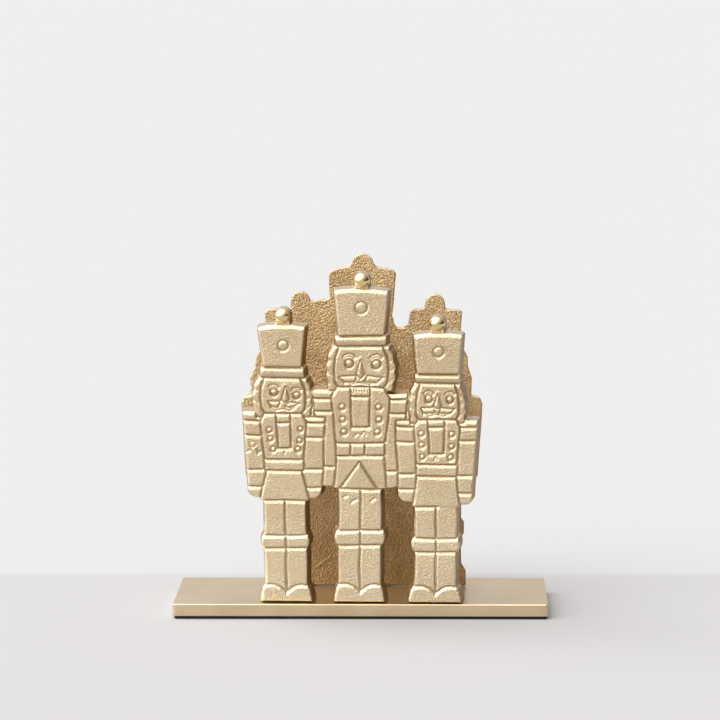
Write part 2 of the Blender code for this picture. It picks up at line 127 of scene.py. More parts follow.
# The plates: facing is the way the face looks along Y, turn is in degrees, margin is the base in front of
# the front plate, and web is how thick the rear plate is where it closes the gaps between its soldiers.
frontPlate = {"margin": 2.3, "thickness": 13.0, "turn": -2.0, "taller": 1.0, "facing": -1.0}
rearPlate = {"thickness": 14.0, "web": 8.5, "turn": 0.0, "taller": 1.03, "facing": 1.0, "innerEdge": 0.5,
             "scratches": (((-24.6, 10.4), (-21.0, 13.6), (-17.4, 15.8)), ((-23.4, 11.2), (-20.6, 11.8)),
                           ((19.6, 14.4), (21.4, 13.4)), ((23.2, 11.4), (29.6, 10.2)),
                           ((26.8, 8.8), (29.4, 8.4)))}
scratchShape = {"depth": 0.35, "reach": 0.5}
frontFigures = (leftSoldier, centreSoldier, rightSoldier)
rearFigures = (
    dict(leftSoldier, footX=-39.0, headX=-37.2, pompomX=-33.1, pompom=151.9, crown=144.8, wider=0.95),
    dict(centreSoldier, footX=0.3, headX=0.8, pompomX=0.6, pompom=170.5, wider=1.1),
    dict(rightSoldier, footX=39.6, headX=40.2, pompomX=39.9, pompom=150.2, wider=0.92),
)
# The castings' skin: reliefReach is how far down the sides the relief is felt.
casting = {"voxel": 0.36, "reliefReach": 5.0, "mostTriangles": 190000}
# Each pompom: the boss is wider than the ball, and a neck joins it to the hat.
pompomShape = {"radius": 4.2, "boss": 0.3, "clear": 9.0, "neckLow": 4.8, "neckTop": 3.4, "neckSunk": 2.0,
               "sunk": 0.3}
# Low ground behind the arms, as (left, right, low, top), so that no daylight shows between them.
fillers = ((-51.5, -28.0, 58.0, 95.0), (-31.0, -21.0, 60.0, 110.0), (21.0, 31.0, 58.0, 109.0),
           (28.5, 52.5, 56.0, 93.0))
fillerLevel = 0.6
# Each wave as (longer, shorter, phase), in millimetres for one radian.
wobble = {"reach": 0.2, "steadyFoot": 8.0, "waves": ((7.1, 9.3, 1.3), (4.3, 5.9, 0.4))}
# How far an arm reaches in under the coat beside it.
tuck = 2.8
# The hair's edge from chin to hat band: how full it is in the middle, and the waves of its locks.
locks = {"steps": 28, "least": 0.66, "fuller": 0.31, "waves": 4.0, "waveDepth": 0.045}
# Lines cut into a head. Over an eye, in eye radii: (lift, reach, first and last angle, strength, width).
eyeLines = ((0.15, 1.45, 40, 140, 0.7, 0.6), (0.5, 1.75, 35, 145, 0.85, 0.7))
# The mouth as (share of its reach, rise), and the hair's as (side, share of the way up the head).
mouthLine = ((-1.0, 1.6), (-0.6, 0.0), (0.0, 1.0), (0.6, -0.1), (1.0, 1.6))
hairLines = ((-1, 0.3), (-1, 0.66), (1, 0.18), (1, 0.42), (1, 0.66))
teeth = {"count": 6, "first": 0.12, "step": 0.15, "lean": 0.5}


def middleX(s, height):
    return s["footX"] + (s["headX"] - s["footX"]) * height / s["bandTop"]


def placed(s, points, taller=1.0):
    # from a soldier's own middle line to the plate
    return [(middleX(s, z) + x * s.get("wider", 1.0), z * taller) for x, z in points]


def stretched(points, taller):
    return [(x, z * taller) for x, z in points]


def mirrored(*rightSide):
    # a symmetrical outline from its right side, bottom to top
    return [*rightSide, *[(-x, z) for x, z in reversed(rightSide) if x > 0]]


def bothSides(points):
    return [points, [(-x, z) for x, z in points]]


def arcPoints(centreX, centreZ, radius, start, end, steps=6):
    angles = [math.radians(start + (end - start) * i / steps) for i in range(steps + 1)]
    return [(centreX + radius * math.cos(a), centreZ + radius * math.sin(a)) for a in angles]


def rounded(outline, radius):
    # the outline with each corner cut back by the radius and bent round
    points, made = [Vector(point) for point in outline], []
    for i, corner in enumerate(points):
        toBefore, toAfter = points[i - 1] - corner, points[(i + 1) % len(points)] - corner
        cut = min(radius, toBefore.length * 0.45, toAfter.length * 0.45)
        start, end = corner + toBefore.normalized() * cut, corner + toAfter.normalized() * cut
        for share in (0.0, 0.33, 0.67, 1.0):
            bent = start * (1 - share) ** 2 + corner * 2 * share * (1 - share) + end * share ** 2
            made.append((bent.x, bent.y))
    return made


def rectangle(left, right, low, top):
    return [(left, low), (right, low), (right, top), (left, top)]


def shoeOutline(s):
    outer, top = s["shoe"], s["shoeTop"]
    return mirrored((outer, 0.0), (outer - 0.2, 3.0), (outer - 1.2, top - 2.4), (outer - 2.4, top - 0.7),
                    (outer * 0.62, top), (outer * 0.42, top - 0.3), (outer * 0.24, top - 1.4),
                    (0.9, top - 3.4), (0.0, top - 4.4))


def kneeOutline(s):
    middle = (s["kneeLow"] + s["kneeTop"]) / 2
    return [(0.0, s["kneeLow"]), (s["knee"] - 1.0, s["kneeLow"]), (s["knee"] - 0.2, middle - 1.6),
            (s["knee"], middle), (s["knee"] - 0.2, middle + 1.6), (s["knee"] - 1.0, s["kneeTop"]),
            (0.0, s["kneeTop"])]


def hairOutline(s):
    # wavy locks on both sides, from under the chin up to the hat band
    chin, reach = s["chin"], s["hair"]
    head = s["bandLow"] - chin
    side = []
    for i in range(locks["steps"] + 1):
        # fullest a little under the middle
        share = i / locks["steps"]
        bulge = math.sin(math.pi * min(1.0, 0.2 + share * 0.72)) ** 0.7
        wave = locks["waveDepth"] * abs(math.sin(math.pi * (locks["waves"] * share + 0.35)))
        width = locks["least"] + locks["fuller"] * bulge + wave
        side.append((reach * width, chin - 1.9 + (head + 2.1) * share))
    side[-1] = (s["band"] * 0.98, s["bandLow"] + 0.4)
    return mirrored((s["neck"] * 0.75, chin - 2.6), *side)


def faceOutline(s):
    chin, face = s["chin"], s["face"]
    head = s["bandLow"] - chin
    return mirrored((face * 0.84, chin - 0.1), (face * 0.97, chin + head * 0.13), (face, chin + head * 0.4),
                    (face * 0.96, chin + head * 0.7), (face * 0.79, chin + head))


def torsoOutline(s):
    outline = mirrored((s["ribs"], s["beltTop"]), (s["chestHalf"], s["chest"]), (s["neck"], s["chin"]))
    return rounded(outline, 1.2)


def skirtOutline(s):
    return rounded(mirrored((s["skirt"], s["hem"]), (s["waist"], s["beltLow"])), 0.8)


def beltOutline(s):
    return rounded(mirrored((s["belt"], s["beltLow"]), (s["belt"], s["beltTop"])), 0.8)


def bandOutline(s):
    return rounded(mirrored((s["band"], s["bandLow"]), (s["band"], s["bandTop"])), 1.5)


def crownOutline(s):
    top = s["crown"]
    outline = mirrored((s["crownLow"], s["bandTop"]), (s["crownHalf"], top - 0.8),
                       (s["crownHalf"] * 0.5, top + 0.4), (0.0, top + 0.7))
    return rounded(outline, 0.9)


def legOutline(s):
    return rectangle(0.0, s["leg"], s["shoeTop"] * 0.5, s["hem"])


def soldierPanels(s):
    # raised panels as (kind, outline), the lowest in the stack first
    panels = [("hair", hairOutline(s))]
    for kind, outline in (("leg", legOutline(s)), ("knee", kneeOutline(s))):
        panels += [(kind, side) for side in bothSides(outline)]
    return panels + [
        ("shoe", shoeOutline(s)), ("torso", torsoOutline(s)), ("belt", beltOutline(s)),
        ("skirt", skirtOutline(s)), ("face", faceOutline(s)), ("crown", crownOutline(s)),
        ("band", bandOutline(s)),
    ]


def armEdges(arm, height):
    (topIn, topOut), (lowIn, lowOut) = arm["shoulder"], arm["hand"]
    share = (height - arm["bottom"]) / (arm["top"] - arm["bottom"])
    return lowIn + (topIn - lowIn) * share, lowOut + (topOut - lowOut) * share


def armOutline(arm):
    bottom = arm["bottom"]
    handIn, handOut = armEdges(arm, bottom)
    rounding = (handOut - handIn) * 0.26
    wrist = bottom + 2.5
    (topIn, topOut), (lowIn, lowOut) = arm["shoulder"], armEdges(arm, wrist)
    under = math.copysign(tuck, handIn - handOut)
    outline = [(handIn + rounding + under, bottom), (handOut - rounding, bottom), (lowOut, wrist),
               (topOut, arm["top"]), (topIn + under, arm["top"]), (lowIn + under, wrist)]
    return rounded(outline, 1.3)


def between(values, start, end):
    # 0 up to the start, 1 from the end, and an even rise between them
    return np.clip((values - start) / (end - start), 0.0, 1.0)


def isInside(across, up, points):
    inside = np.zeros(across.shape, bool)
    for (ax, az), (bx, bz) in zip(points, points[1:] + points[:1]):
        crosses = (az > up) != (bz > up)
        if az != bz:
            inside ^= crosses & (across < ax + (up - az) * (bx - ax) / (bz - az))
    return inside


def nearestOn(across, up, points, closed):
    # distance to a line, with the direction away from it
    best = np.full(across.shape, 1e9)
    awayX, awayZ = np.zeros(across.shape), np.zeros(across.shape)
    ends = points[1:] + points[:1] if closed else points[1:]
    for (ax, az), (bx, bz) in zip(points, ends):
        length = max((bx - ax) ** 2 + (bz - az) ** 2, 1e-9)
        along = np.clip(((across - ax) * (bx - ax) + (up - az) * (bz - az)) / length, 0.0, 1.0)
        dx, dz = across - ax - along * (bx - ax), up - az - along * (bz - az)
        distance = dx * dx + dz * dz
        nearer = distance < best
        best = np.where(nearer, distance, best)
        awayX, awayZ = np.where(nearer, dx, awayX), np.where(nearer, dz, awayZ)
    best = np.sqrt(best)
    return best, awayX / np.maximum(best, 1e-6), awayZ / np.maximum(best, 1e-6)


def soften(values, rounds):
    # each round spreads every value a little over its neighbours
    for _ in range(rounds):
        for axis in (0, 1):
            values = (np.roll(values, 1, axis) + 2 * values + np.roll(values, -1, axis)) / 4
    return values


class Relief:
    # The depth of the face of a plate under its highest level, on a fine grid over the plate.
    def __init__(self):
        low, high, step = reliefGrid["low"], reliefGrid["high"], reliefGrid["step"]
        self.x = np.arange(low[0], high[0], step)
        self.z = np.arange(low[1], high[1], step)
        self.level = np.zeros((len(self.x), len(self.z)))
        self.cut = np.zeros_like(self.level)
        self.solid = np.zeros_like(self.level)

    def window(self, points, margin):
        xs, zs = [p[0] for p in points], [p[1] for p in points]
        i = np.searchsorted(self.x, (min(xs) - margin, max(xs) + margin))
        k = np.searchsorted(self.z, (min(zs) - margin, max(zs) + margin))
        part = slice(*i), slice(*k)
        across, up = np.meshgrid(self.x[part[0]], self.z[part[1]], indexing="ij")
        return part, across, up

    def carve(self, part, distance, awayX, awayZ, strength=1.0, width=1.0):
        beside = np.where(awayX > 0, cutLine["right"], cutLine["left"])
        upright = np.where(awayZ > 0, cutLine["above"], cutLine["below"])
        reach = width * (beside * awayX ** 2 + upright * awayZ ** 2) + 1e-3
        share = np.clip(1.0 - distance / reach, 0.0, 1.0)
        depth = cutLine["depth"] * strength * share ** cutLine["curve"]
        self.cut[part] = np.maximum(self.cut[part], depth)

    def line(self, points, closed=False, strength=1.0, width=1.0):
        part, across, up = self.window(points, 2.0)
        self.carve(part, *nearestOn(across, up, list(points), closed), strength, width)

    def panel(self, outline, level):
        # a panel covers what lies under it, and a cut line runs round it
        part, across, up = self.window(outline, 3.0)
        inside = isInside(across, up, list(outline))
        self.level[part] = np.where(inside, level, self.level[part])
        self.cut[part] = np.where(inside, 0.0, self.cut[part])
        self.solid[part] = np.where(inside, 1.0, self.solid[part])
        self.carve(part, *nearestOn(across, up, list(outline), True))

    def ring(self, centre, radius, strength=0.8, width=0.75, dome=0.3, domeShare=0.75):
        part, across, up = self.window([centre], radius + 2.0)
        fromCentre = np.hypot(across - centre[0], up - centre[1])
        outwards = np.sign(fromCentre - radius) / np.maximum(fromCentre, 1e-6)
        awayX, awayZ = outwards * (across - centre[0]), outwards * (up - centre[1])
        self.carve(part, abs(fromCentre - radius), awayX, awayZ, strength, width)
        bump = dome * np.clip(1.0 - (fromCentre / (radius * domeShare)) ** 2, 0.0, 1.0)
        self.level[part] -= bump

    def ridge(self, points, height, reach):
        part, across, up = self.window(points, reach)
        distance, _, _ = nearestOn(across, up, list(points), False)
        self.level[part] -= height * np.clip(1.0 - distance / reach, 0.0, 1.0)

    def barrel(self, outline, depth):
        # rounds a band off towards its upper and lower edge
        part, across, up = self.window(outline, 0.0)
        low, high = min(z for _, z in outline), max(z for _, z in outline)
        share = (2 * up - low - high) / (high - low)
        self.level[part] += np.where(isInside(across, up, list(outline)), depth * share ** 2, 0.0)

    def heal(self, left, right, low, top):
        # wipes out the cut lines in a rectangle
        part, _, _ = self.window([(left, low), (right, top)], 0.0)
        self.cut[part] = 0.0

    def grooves(self):
        # how deep in a cut line a place is, leaving out the outer edge, which only has ground on one side
        ground = between(soften(self.solid, 40), 0.6, 0.9)
        return self.cut / cutLine["depth"] * ground

    def sample(self, values, across, up):
        step = reliefGrid["step"]
        i = np.clip((across - self.x[0]) / step, 0, len(self.x) - 1.001)
        k = np.clip((up - self.z[0]) / step, 0, len(self.z) - 1.001)
        i0, k0 = i.astype(int), k.astype(int)
        a, b = i - i0, k - k0
        return ((values[i0, k0] * (1 - a) + values[i0 + 1, k0] * a) * (1 - b)
                + (values[i0, k0 + 1] * (1 - a) + values[i0 + 1, k0 + 1] * a) * b)


def engraveHead(relief, s, taller):
    for x, z in s["eyes"]:
        radius = s["eyeRadius"]
        relief.ring(placed(s, [(x, z)], taller)[0], radius, strength=1.0, dome=0.4, domeShare=0.8)
        for lift, reach, start, end, strength, width in eyeLines:
            arc = arcPoints(x, z + radius * lift, radius * reach, start, end)
            relief.line(placed(s, arc, taller), strength=strength, width=width)
    nose = placed(s, s["nose"], taller)
    relief.ridge([nose[0], nose[2]], 0.55, 1.8)
    relief.line(nose, closed=True, strength=0.9, width=0.65)
    for half in (s["moustache"], s["otherMoustache"]):
        relief.line(placed(s, half, taller), closed=True, strength=0.9, width=0.75)
    lip, chin = (s["moustache"][2][1] + s["chin"]) / 2, s["chin"]
    reach = s["face"] * 0.55
    mouth = [(reach * share, lip + rise) for share, rise in mouthLine]
    relief.line(placed(s, mouth, taller), strength=0.75, width=0.6)
    head = s["bandLow"] - chin
    for side, share in hairLines:
        outer = (side * s["hair"] * 0.98, chin + head * share + 1.4)
        inner = (side * (s["face"] + 1.2), chin + head * share - 0.4)
        relief.line(placed(s, [outer, inner], taller), strength=0.3, width=0.9)


def engraveCoat(relief, s, taller):
    left, right, low = s["bib"]
    relief.line(placed(s, [(left - 0.5, s["chin"]), (left + 0.2, low), (right - 0.2, low),
                           (right + 0.3, s["chin"])], taller))
    relief.line(placed(s, [(left, s["bibTop"]), (right, s["bibTop"])], taller))
    relief.line(placed(s, s["bow"], taller), strength=0.7, width=0.6)
    for centre in s["buttons"]:
        relief.ring(placed(s, [centre], taller)[0], s["buttonRadius"], domeShare=0.8)
    if "buckle" in s:
        for x in s["buckle"]:
            relief.line(placed(s, [(x, s["beltLow"]), (x, s["beltTop"])], taller))
    if "apron" in s:
        relief.line(placed(s, s["apron"], taller))
    relief.ring(placed(s, [s["emblem"]], taller)[0], s["emblemRadius"], dome=0.25, domeShare=1.0)


def engraveTeeth(relief, s, taller):
    left, right, _ = s["bib"]
    for i in range(teeth["count"]):
        x = left + (right - left) * (teeth["first"] + teeth["step"] * i)
        gap = [(x, s["chin"] - 0.6), (x + teeth["lean"], s["chin"] - 2.5)]
        relief.line(placed(s, gap, taller), strength=0.75, width=0.5)


def engraveArm(relief, arm, taller):
    relief.panel(stretched(armOutline(arm), taller), levels["arm"])
    for height in arm["lines"]:
        relief.line(stretched([(x, height) for x in armEdges(arm, height)], taller))


def engraveMarks(relief, taller):
    # the small ring and hook on the left outer sleeve, and the rough spots on the middle thighs
    relief.ring((-56.2, 85.3 * taller), 1.6, strength=0.5, width=0.5, dome=0.1)
    for mark in (((-54.6, 83.0), (-53.6, 80.6), (-52.4, 81.4)), ((-59.4, 81.6), (-58.2, 82.2)),
                 ((-8.0, 57.0), (-6.8, 57.6)), ((-4.2, 54.4), (-1.6, 56.0)), ((6.2, 55.4), (8.2, 57.0))):
        relief.line(stretched(mark, taller), strength=0.8, width=0.8)


def makeRelief(soldiers, taller):
    relief = Relief()
    for filler in fillers:
        relief.panel(stretched(rectangle(*filler), taller), fillerLevel)
    for name in armOrder:
        engraveArm(relief, arms[name], taller)
    for s in soldiers:
        for kind, outline in soldierPanels(s):
            relief.panel(placed(s, outline, taller), levels[kind])
            if kind == "band":
                relief.barrel(placed(s, outline, taller), 0.7)
        engraveCoat(relief, s, taller)
        engraveHead(relief, s, taller)
        sole = placed(s, [(-s["shoe"], 0.0), (s["shoe"], 0.0)])
        relief.line(sole, strength=2.4, width=1.6)
        if "buckle" in s:
            engraveTeeth(relief, s, taller)
        if s["hemEnd"] < s["leg"]:
            # this skirt runs into the thigh beyond the end of its hem
            x, hem = middleX(s, s["hem"]), s["hem"]
            relief.heal(x + s["hemEnd"], x + s["leg"] - 0.6, (hem - 1.8) * taller, (hem + 1.2) * taller)
    engraveMarks(relief, taller)
    relief.level = soften(relief.level, 2)
    return relief


def anticlockwise(outline):
    area = sum(a[0] * b[1] - b[0] * a[1] for a, b in zip(outline, outline[1:] + outline[:1]))
    return list(outline) if area > 0 else list(reversed(outline))


def spreadOut(outline, depth):
    # the outline at a depth under the face, wider by the draft, and never below the foot
    points = [Vector(point) for point in outline]
    moved = []
    for i, point in enumerate(points):
        before = (point - points[i - 1]).normalized()
        after = (points[(i + 1) % len(points)] - point).normalized()
        normal = Vector((before.y, -before.x))
        middle = (normal + Vector((after.y, -after.x))).normalized()
        corner = middle * depth / max(middle.dot(normal), 0.5)
        moved.append((point.x + corner.x * draftSide, max(point.y + corner.y * draftUp, 0.0)))
    return moved


def addSlab(bm, outline, low, high, facing, depth):
    # the outline at height high, drafted down to height low
    outline = anticlockwise(outline)
    ring = [bm.verts.new((x, facing * low, z)) for x, z in spreadOut(outline, depth)]
    extruded = bmesh.ops.extrude_face_region(bm, geom=[bm.faces.new(ring)])["geom"]
    raised = {part for part in extruded if isinstance(part, bmesh.types.BMVert)}
    for vert, (x, z) in zip(ring, outline):
        above = next(edge.other_vert(vert) for edge in vert.link_edges if edge.other_vert(vert) in raised)
        above.co = (x, facing * high, z)


def addTurned(bm, profile, centre, axis, sides):
    # spins a profile of (radius, distance along the axis) points whose ends lie on the axis
    before = set(bm.verts)
    middle, outwards, onwards = Vector(centre), Vector((1.0, 0.0, 0.0)), Vector(axis)
    verts = [bm.verts.new(middle + outwards * radius + onwards * along) for radius, along in profile]
    line = verts + [bm.edges.new(pair) for pair in zip(verts, verts[1:])]
    bmesh.ops.spin(bm, geom=line, cent=centre, axis=axis, angle=math.tau, steps=sides, use_merge=True)
    made = [vert for vert in bm.verts if vert not in before]
    bmesh.ops.remove_doubles(bm, verts=made, dist=0.001)


def rearOutline():
    # the rear plate's outline at its inner face: the soldiers' shadow with the gaps between filled
    right = [(56.6, 0.0), (56.6, 8.7), (54.1, 12.6), (54.1, 26.5), (55.9, 28.5), (55.9, 34.9), (54.1, 37.3),
             (54.1, 54.1), (59.5, 56.1), (63.3, 61.0), (65.6, 100.2), (64.2, 103.8), (59.7, 104.7),
             (60.3, 114.4), (57.9, 120.7), (57.3, 126.5), (54.4, 131.4)]
    rightHat = [(53.6, 134.3), (54.6, 150.1), (53.6, 151.0), (45.7, 152.2),
                *arcPoints(39.9, 154.7, 5.6, 0, 180), (34.0, 152.2), (27.4, 151.7), (26.1, 150.3),
                (25.4, 144.2), (23.1, 141.9), (19.4, 141.9), (17.7, 144.4), (17.6, 146.4), (16.6, 148.2)]
    centreHat = [(19.1, 171.2), (17.5, 173.4), (8.6, 175.1), *arcPoints(0.6, 175.6, 6.4, 10, 170),
                 (-7.4, 175.0), (-15.9, 173.2), (-17.5, 170.9), (-17.4, 159.0), (-18.9, 157.4)]
    leftHat = [(-27.4, 156.1), *arcPoints(-33.1, 156.5, 5.3, 15, 180), (-38.6, 152.4), (-50.9, 151.9),
               (-52.5, 150.1), (-51.6, 134.3)]
    # the left side mirrors the right one, 3 mm further in beside the legs
    left = [(-x + 3.0 * (z < 55.0), z) for x, z in reversed(right)]
    return right + rightHat + centreHat + leftHat + left


def pompomPlace(s, plate):
    return (s["pompomX"], 0.0, s["pompom"] * plate["taller"])


def bodyOf(plate, soldiers):
    # the plate as overlapping drafted slabs, before its skin is made
    bm = bmesh.new()
    thickness, facing, taller = plate["thickness"], plate["facing"], plate["taller"]
    low = 0.0
    if "web" in plate:
        web = plate["web"]
        low = 1.0
        addSlab(bm, rearOutline(), web, 0.0, facing, -web)
        rim = [e for e in bm.edges if max(abs(v.co.y) for v in e.verts) < 0.001]
        bmesh.ops.bevel(bm, geom=rim, offset=plate["innerEdge"], segments=2, profile=0.5,
                        affect="EDGES", material=-1)
    depth = thickness - low
    radius, sunk, neckSunk = pompomShape["radius"], pompomShape["sunk"], pompomShape["neckSunk"]
    wide, narrow = pompomShape["neckLow"], pompomShape["neckTop"]
    for s in soldiers:
        for kind, outline in soldierPanels(s):
            if kind != "face":
                addSlab(bm, placed(s, outline, taller), low, thickness, facing, depth)
        neckLow, neckTop = s["crown"] - 2.0, s["pompom"] - 2.0
        neck = [(-wide, neckLow), (wide, neckLow), (narrow, neckTop), (-narrow, neckTop)]
        neck = [(s["pompomX"] + x, z * taller) for x, z in neck]
        addSlab(bm, neck, low, thickness - neckSunk, facing, depth - neckSunk)
        ball = arcPoints(0.0, thickness - radius, radius - sunk, 0, 90, 8)
        profile = [(0.0, 0.1), (radius + pompomShape["boss"], 0.1), *ball[:-1], (0.0, thickness - sunk)]
        addTurned(bm, profile, pompomPlace(s, plate), (0.0, facing, 0.0), 32)
    blocks = [armOutline(arms[name]) for name in armOrder] + [rectangle(*filler) for filler in fillers]
    for outline in blocks:
        addSlab(bm, stretched(outline, taller), low, thickness, facing, depth)
    bmesh.ops.recalc_face_normals(bm, faces=bm.faces)
    return bm


def evaluated(thing):
    graph = bpy.context.evaluated_depsgraph_get()
    mesh = bpy.data.meshes.new_from_object(thing.evaluated_get(graph))
    thing.modifiers.clear()
    return mesh


def newObject(name, bm):
    mesh = bpy.data.meshes.new(name)
    bm.to_mesh(mesh)
    bm.free()
    thing = bpy.data.objects.new(name, mesh)
    bpy.context.collection.objects.link(thing)
    return thing


def vectorsOf(items, field):
    values = np.empty(len(items) * 3, np.float32)
    items.foreach_get(field, values)
    return values.reshape(-1, 3)


def pointsOf(mesh):
    return vectorsOf(mesh.vertices, "co").astype(float)


def setPoints(mesh, points):
    mesh.vertices.foreach_set("co", points.astype(np.float32).ravel())
    mesh.update()


def pressRelief(points, relief, plate, soldiers):
    # pushes the face back to the relief, less and less down the sides and not at all round the pompoms,
    # and scratches the inner face
    thickness, facing, taller = plate["thickness"], plate["facing"], plate["taller"]
    height = points[:, 1] * facing
    share = np.clip((height - thickness + casting["reliefReach"]) / casting["reliefReach"], 0.0, 1.0)
    share = share * share * (3 - 2 * share)
    for s in soldiers:
        x, _, z = pompomPlace(s, plate)
        away = np.hypot(points[:, 0] - x, points[:, 2] - z)
        above = points[:, 2] - (s["crown"] + 1.0) * taller
        share[(away < pompomShape["clear"]) & (above > 0)] = 0.0
    depth = relief.sample(relief.level + relief.cut, points[:, 0], points[:, 2])
    points[:, 1] -= facing * share * depth
    for scratch in plate.get("scratches", ()):
        distance, _, _ = nearestOn(points[:, 0], points[:, 2], list(scratch), False)
        near = np.clip(1.0 - distance / scratchShape["reach"], 0.0, 1.0)
        points[:, 1] -= facing * scratchShape["depth"] * near * (height < 1.0)
    return points


def addWobble(points):
    # the slight unevenness of a pattern that was cut by hand; the foot stays level
    steady = np.clip(points[:, 2] / wobble["steadyFoot"], 0.0, 1.0)
    for long, short, phase in wobble["waves"]:
        across = np.sin(points[:, 2] / long + phase) * np.cos(points[:, 0] / short)
        up = np.sin(points[:, 0] / long + 2 * phase) * np.cos(points[:, 2] / short)
        points[:, 0] += wobble["reach"] * across
        points[:, 2] += wobble["reach"] * up * steady
    return points


def placePlate(points, plate, plateY):
    # from plate millimetres, with the inner face at 0, to where the plate stands
    turn = math.radians(plate["turn"])
    x, y = points[:, 0] * mm, points[:, 1] * mm
    return np.stack([
        x * math.cos(turn) - y * math.sin(turn),
        x * math.sin(turn) + y * math.cos(turn) + plateY,
        points[:, 2] * mm + footZ,
    ], axis=1)


def smoothSkin(thing, repeats):
    smooth = thing.modifiers.new("smooth", "SMOOTH")
    smooth.factor = 0.5
    smooth.iterations = repeats


def castSkin(name, plate, soldiers, relief):
    # one closed skin over the slabs, pressed to the relief and thinned
    thing = newObject(name, bodyOf(plate, soldiers))
    remesh = thing.modifiers.new("skin", "REMESH")
    remesh.mode = "VOXEL"
    remesh.voxel_size = casting["voxel"]
    smoothSkin(thing, 4)
    thing.data = evaluated(thing)
    setPoints(thing.data, pressRelief(pointsOf(thing.data), relief, plate, soldiers))
    smoothSkin(thing, 1)
    triangles = 2 * len(thing.data.polygons)
    thin = thing.modifiers.new("thin", "DECIMATE")
    thin.ratio = min(1.0, casting["mostTriangles"] / triangles)
    thing.data = evaluated(thing)
    print(name, "skin of", triangles, "triangles, thinned to", len(thing.data.polygons))
    return thing


def addAttribute(mesh, name, values):
    mesh.attributes.new(name, "FLOAT", "POINT").data.foreach_set("value", values)


# Where the materials change, in millimetres under the face and in shares of a normal.
finishEdge = {"grooveEnd": 4.0, "grooveFull": 2.0, "turnStart": 0.6, "turnFull": 0.9, "sideStart": 0.6,
              "sideFull": 1.8, "innerTurn": -0.7, "innerReach": 0.6}


def makeCasting(name, plate, soldiers, plateY, materials):
    relief = makeRelief(soldiers, plate["taller"])
    thing = castSkin(name, plate, soldiers, relief)
    mesh, facing = thing.data, plate["facing"]
    points = pointsOf(mesh)
    under = plate["thickness"] - points[:, 1] * facing
    # where painted shade darkens the cut lines on the face
    grooves = relief.sample(relief.grooves(), points[:, 0], points[:, 2])
    onFace = between(under, finishEdge["grooveEnd"], finishEdge["grooveFull"])
    addAttribute(mesh, "groove_shade", grooves * onFace)
    sideways = abs(vectorsOf(mesh.vertices, "normal")[:, 0])
    turned = between(sideways, finishEdge["turnStart"], finishEdge["turnFull"])
    behind = between(under, finishEdge["sideStart"], finishEdge["sideFull"])
    addAttribute(mesh, "side", turned * behind)
    for material in materials:
        mesh.materials.append(material)
    normalY = vectorsOf(mesh.polygons, "normal")[:, 1] * facing
    centreY = vectorsOf(mesh.polygons, "center")[:, 1] * facing
    inner = (normalY < finishEdge["innerTurn"]) & (centreY < finishEdge["innerReach"])
    mesh.polygons.foreach_set("material_index", inner.astype(np.int32))
    setPoints(mesh, placePlate(addWobble(points), plate, plateY))
    mesh.shade_smooth()
    thing.modifiers.new("flat faces", "WEIGHTED_NORMAL")
    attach(thing, "root")
    return thing


def linear(code):
    # an sRGB hex code as the linear colour that Blender's sockets take
    values = [int(code[i:i + 2], 16) / 255 for i in (1, 3, 5)]
    return (*[v / 12.92 if v <= 0.04045 else ((v + 0.055) / 1.055) ** 2.4 for v in values], 1.0)


def newMaterial(name):
    material = bpy.data.materials.new(name)
    material.use_nodes = True
    tree = material.node_tree
    return material, tree, tree.nodes["Principled BSDF"]


def addNode(tree, kind, settings=None, **links):
    # adds a node, sets its properties and input values, and links the inputs that are given a socket
    node = tree.nodes.new(kind)
    for key, value in (settings or {}).items():
        if key in node.inputs:
            node.inputs[key].default_value = value
        else:
            setattr(node, key, value)
    for key, source in links.items():
        tree.links.new(source, node.inputs[int(key[1:]) if key[1:].isdigit() else key.replace("_", " ")])
    return node


def ramp(node, *stops):
    elements = node.color_ramp.elements
    while len(elements) > len(stops):
        elements.remove(elements[-1])
    while len(elements) < len(stops):
        elements.new(1.0)
    for element, (place, code) in zip(elements, stops):
        element.position = place
        element.color = linear(code)


def objectPlace(tree):
    return addNode(tree, "ShaderNodeTexCoord").outputs["Object"]


def noise(tree, place, size, detail, **settings):
    # noise whose largest features are about size millimetres apart
    settings.update({"Scale": 1 / (size * mm), "Detail": detail})
    return addNode(tree, "ShaderNodeTexNoise", settings, Vector=place).outputs["Fac"]


def fitted(tree, value, fromMin=0.0, fromMax=1.0, toMin=0.0, toMax=1.0):
    # a value moved from one range to another, and held inside it
    limits = {"From Min": fromMin, "From Max": fromMax, "To Min": toMin, "To Max": toMax}
    return addNode(tree, "ShaderNodeMapRange", limits, Value=value).outputs["Result"]


def laidOver(tree, share, under, code):
    # a colour with a share of a plain one over it
    mix = addNode(tree, "ShaderNodeMix", {"data_type": "RGBA"}, i0=share, i6=under)
    mix.inputs[7].default_value = linear(code)
    return mix.outputs[2]


def clouded(tree, place, size, low, high):
    # two colours that drift into each other over about size millimetres
    tone = addNode(tree, "ShaderNodeValToRGB", Fac=noise(tree, place, size, 4.0))
    ramp(tone, (0.35, low), (0.65, high))
    return tone.outputs["Color"]


def embossed(tree, shader, height, depth):
    # unevenness too fine for the mesh, depth millimetres at most
    bump = addNode(tree, "ShaderNodeBump", {"Strength": 1.0, "Distance": depth * mm}, Height=height)
    tree.links.new(bump.outputs["Normal"], shader.inputs["Normal"])


# Both finishes get painted light and shade towards the foot, between these heights in metres.
footHeights = {"start": 0.11, "full": 0.03}
sideFinish = {"sideTone": "#83663c", "share": 0.8, "duller": 0.16}


